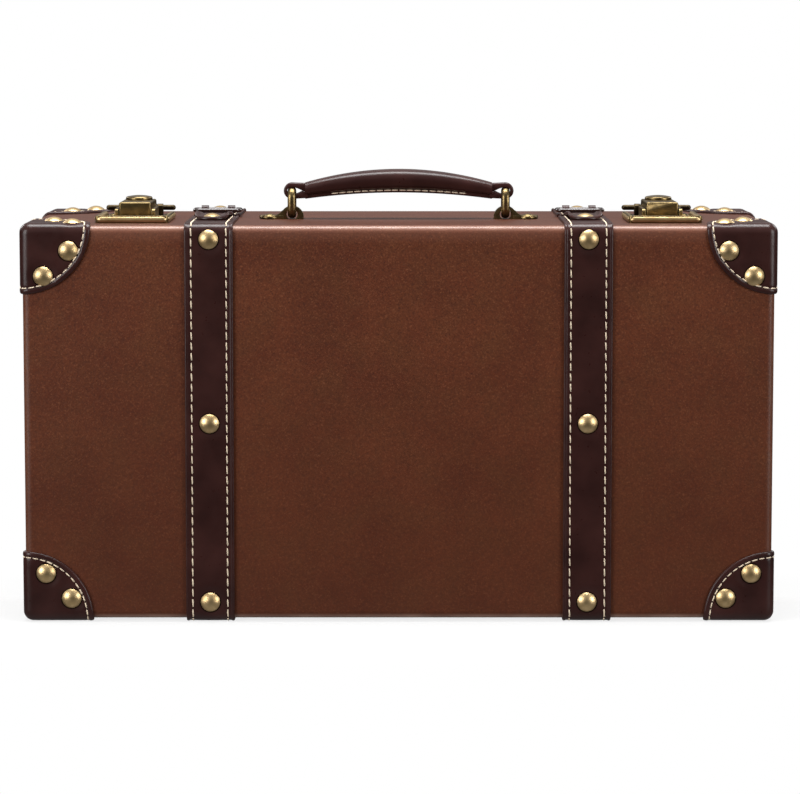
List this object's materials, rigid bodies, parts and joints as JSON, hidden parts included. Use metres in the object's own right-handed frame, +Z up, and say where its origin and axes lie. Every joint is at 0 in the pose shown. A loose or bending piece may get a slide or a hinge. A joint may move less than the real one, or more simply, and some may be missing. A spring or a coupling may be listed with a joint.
{
  "type": "leather suitcase",
  "caption": "Rigid leather suitcase with capped and studded corners, wrap-round straps with tabs, push-knob clasps, a swinging carrying handle and a hinged, lined lid.",
  "frame": {"origin": "centre of the bounding box's footprint, on the floor under the case", "axes": "+X along the case's width, to the right of the front; +Y from the front half to the lid; +Z up"},
  "size_m": [0.612, 0.208, 0.3604],
  "materials": {
    "body_leather": "semi-gloss grain",
    "trim_leather": "satin",
    "board": "raw",
    "lining": "matt woven",
    "antique_brass": "antique satin",
    "dark_steel": "dark satin"
  },
  "bodies": {
    "base": {"base_leather": "body_leather", "base_shell": "board", "base_rim": "board", "base_lining": "lining", "base_corner_bottom_left": "trim_leather", "base_corner_bottom_right": "trim_leather", "base_corner_top_left": "trim_leather", "base_corner_top_right": "trim_leather", "base_strap_left": "trim_leather", "base_strap_right": "trim_leather", "base_corner_rivets": "antique_brass", "base_strap_rivets": "antique_brass", "base_hinge_left": "dark_steel", "base_hinge_right": "dark_steel", "lock_plate_left": "antique_brass", "lock_plate_right": "antique_brass", "lock_screws": "antique_brass", "handle_bracket_left": "antique_brass", "handle_bracket_right": "antique_brass", "bracket_rivets": "antique_brass", "hinge_pins": "dark_steel"},
    "lid": {"lid_leather": "body_leather", "lid_shell": "board", "lid_lining": "lining", "lid_corner_bottom_left": "trim_leather", "lid_corner_bottom_right": "trim_leather", "lid_corner_top_left": "trim_leather", "lid_corner_top_right": "trim_leather", "lid_strap_left": "trim_leather", "lid_strap_right": "trim_leather", "lid_corner_rivets": "antique_brass", "lid_strap_rivets": "antique_brass", "lid_hinge_left": "dark_steel", "lid_hinge_right": "dark_steel", "strap_chape_left": "trim_leather", "strap_chape_right": "trim_leather", "hasp_plate_left": "dark_steel", "hasp_plate_right": "dark_steel", "hasp_rod_left": "dark_steel", "hasp_rod_right": "dark_steel", "hasp_plate_screws": "antique_brass"},
    "handle": {"handle_grip": "trim_leather", "handle_loop_left": "trim_leather", "handle_loop_right": "trim_leather", "handle_ring_left": "antique_brass", "handle_ring_right": "antique_brass"},
    "tab_left": {"strap_tab_left": "trim_leather", "buckle_left": "dark_steel", "tab_rivet_left": "antique_brass"},
    "hasp_left": {"hasp_left": "antique_brass"},
    "button_left": {"lock_button_left": "antique_brass"},
    "tab_right": {"strap_tab_right": "trim_leather", "buckle_right": "dark_steel", "tab_rivet_right": "antique_brass"},
    "hasp_right": {"hasp_right": "antique_brass"},
    "button_right": {"lock_button_right": "antique_brass"}
  },
  "joints": [
    {"name": "lid_hinge", "type": "hinge", "parent": "base", "child": "lid", "pos_m": [0, 0, 0.0022], "axis": [-1, 0, 0], "range_deg": [0, 110]},
    {"name": "handle_swing", "type": "hinge", "parent": "base", "child": "handle", "pos_m": [0, -0.012, 0.3288], "axis": [1, 0, 0], "range_deg": [-75, 75]},
    {"name": "tab_left_lift", "type": "hinge", "parent": "lid", "child": "tab_left", "pos_m": [-0.15121, 0.026, 0.32475], "axis": [-1, 0, 0], "range_deg": [0, 110]},
    {"name": "hasp_left_lift", "type": "hinge", "parent": "lid", "child": "hasp_left", "pos_m": [-0.215, 0.014, 0.327], "axis": [-1, 0, 0], "range_deg": [0, 110]},
    {"name": "button_left_push", "type": "slide", "parent": "hasp_left", "child": "button_left", "axis": [0, 0, -1], "range_m": [0, 0.0015], "stiffness_N_per_m": 600, "springref_m": -0.003},
    {"name": "tab_right_lift", "type": "hinge", "parent": "lid", "child": "tab_right", "pos_m": [0.15121, 0.026, 0.32475], "axis": [-1, 0, 0], "range_deg": [0, 110]},
    {"name": "hasp_right_lift", "type": "hinge", "parent": "lid", "child": "hasp_right", "pos_m": [0.215, 0.014, 0.327], "axis": [-1, 0, 0], "range_deg": [0, 110]},
    {"name": "button_right_push", "type": "slide", "parent": "hasp_right", "child": "button_right", "axis": [0, 0, -1], "range_m": [0, 0.0015], "stiffness_N_per_m": 600, "springref_m": -0.003}
  ]
}
